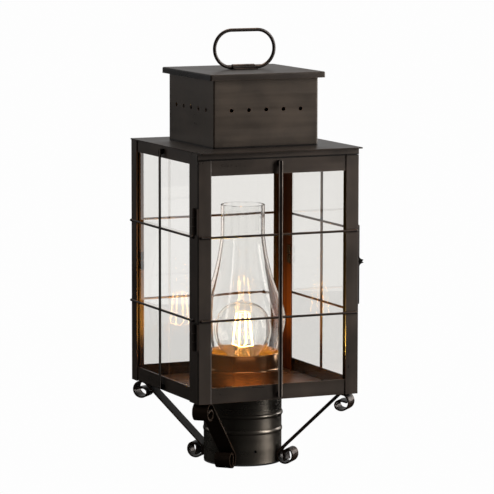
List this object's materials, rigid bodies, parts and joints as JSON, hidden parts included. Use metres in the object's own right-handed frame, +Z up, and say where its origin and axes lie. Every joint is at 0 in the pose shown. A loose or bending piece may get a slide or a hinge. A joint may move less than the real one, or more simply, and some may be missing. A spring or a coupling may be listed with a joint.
{
  "type": "post top lantern",
  "caption": "Square glazed post top lantern with hinged door, vented stack, carrying ring, glass chimney over a screw in bulb, scroll brackets and a round post fitter.",
  "frame": {"origin": "centre of the post fitter's bore at its lower rim", "axes": "+Z up along the post, +X to the right as seen from the door, the door faces -Y"},
  "size_m": [0.1854, 0.1902, 0.441],
  "materials": {
    "bronze_metal": "dark oil rubbed bronze, satin, mottled, edges worn to copper brown",
    "guard_wire": "dark bronze wire, satin, worn copper brown on the crown",
    "ring_wire": "dark bronze wire, satin",
    "hinge_metal": "dark bronze, satin, rubbed edges",
    "cup_metal": "dark bronze, satin",
    "pane_glass": "clear float glass",
    "chimney_glass": "clear blown glass",
    "bulb_glass": "clear bulb glass",
    "filament": "phosphor coated filament sticks, lit",
    "bulb_cap": "plated screw cap",
    "bulb_contact": "contact tip in black insulator",
    "socket_moulding": "dark moulded lamp holder",
    "socket_brass": "bare brass",
    "plated_steel": "plated steel"
  },
  "bodies": {
    "lantern_body": {"back_bottom_rail": "bronze_metal", "back_top_rail": "bronze_metal", "base_plate": "bronze_metal", "bridge_rivets": "plated_steel", "chimney_cup": "cup_metal", "corner_post_back_left": "bronze_metal", "corner_post_back_right": "bronze_metal", "corner_post_front_left": "bronze_metal", "corner_post_front_right": "bronze_metal", "front_header": "bronze_metal", "glass_back": "pane_glass", "glass_left": "pane_glass", "glass_right": "pane_glass", "glass_tabs": "bronze_metal", "glazing_angles": "bronze_metal", "guard_bars_back": "guard_wire", "guard_bars_left": "guard_wire", "guard_bars_right": "guard_wire", "guard_upright_back": "guard_wire", "guard_upright_left": "guard_wire", "guard_upright_right": "guard_wire", "hinge_leaves_post": "hinge_metal", "hinge_pins": "hinge_metal", "left_bottom_rail": "bronze_metal", "left_top_rail": "bronze_metal", "nipple_nut": "socket_brass", "post_fitter": "bronze_metal", "right_bottom_rail": "bronze_metal", "right_top_rail": "bronze_metal", "ring_strap": "ring_wire", "roof_plate": "bronze_metal", "scroll_bracket_back_left": "bronze_metal", "scroll_bracket_back_right": "bronze_metal", "scroll_bracket_front_left": "bronze_metal", "scroll_bracket_front_right": "bronze_metal", "socket_body": "socket_moulding", "socket_bridge": "plated_steel", "socket_contact": "socket_brass", "socket_nipple": "socket_brass", "socket_shell": "socket_brass", "stack_lid": "bronze_metal", "vent_stack": "bronze_metal"},
    "door": {"door_hinge_stile": "bronze_metal", "door_latch_stile": "bronze_metal", "door_bottom_rail": "bronze_metal", "door_top_rail": "bronze_metal", "door_glass": "pane_glass", "door_glass_clips": "bronze_metal", "door_guard_bars": "guard_wire", "door_guard_upright": "guard_wire", "hinge_leaves_door": "hinge_metal", "latch_strip": "hinge_metal", "latch_grip": "hinge_metal"},
    "ring": {"carrying_ring": "ring_wire"},
    "chimney": {"glass_chimney": "chimney_glass"},
    "bulb_carrier": {"bulb_contact": "bulb_contact"},
    "bulb": {"bulb_envelope": "bulb_glass", "bulb_filaments": "filament", "bulb_cap": "bulb_cap"}
  },
  "joints": [
    {"name": "door_swing", "type": "hinge", "parent": "lantern_body", "child": "door", "pos_m": [-0.0892, -0.0825, 0.2], "axis": [0, 0, -1], "range_deg": [0, 170]},
    {"name": "ring_tilt", "type": "hinge", "parent": "lantern_body", "child": "ring", "pos_m": [0, 0, 0.40005], "axis": [1, 0, 0], "range_deg": [-90, 90]},
    {"name": "chimney_lift", "type": "slide", "parent": "lantern_body", "child": "chimney", "axis": [0, 0, 1], "range_m": [0, 0.085]},
    {"name": "bulb_rise", "type": "slide", "parent": "lantern_body", "child": "bulb_carrier", "axis": [0, 0, 1], "range_m": [0, 0.0109]},
    {"name": "bulb_turn", "type": "hinge", "parent": "bulb_carrier", "child": "bulb", "pos_m": [0, 0, 0.0606], "axis": [0, 0, 1], "range_deg": [0, 1080]}
  ],
  "couplings": [
    {"joint": "bulb_rise", "follows": "bulb_turn", "m_per_rad": 0.0005775}
  ]
}
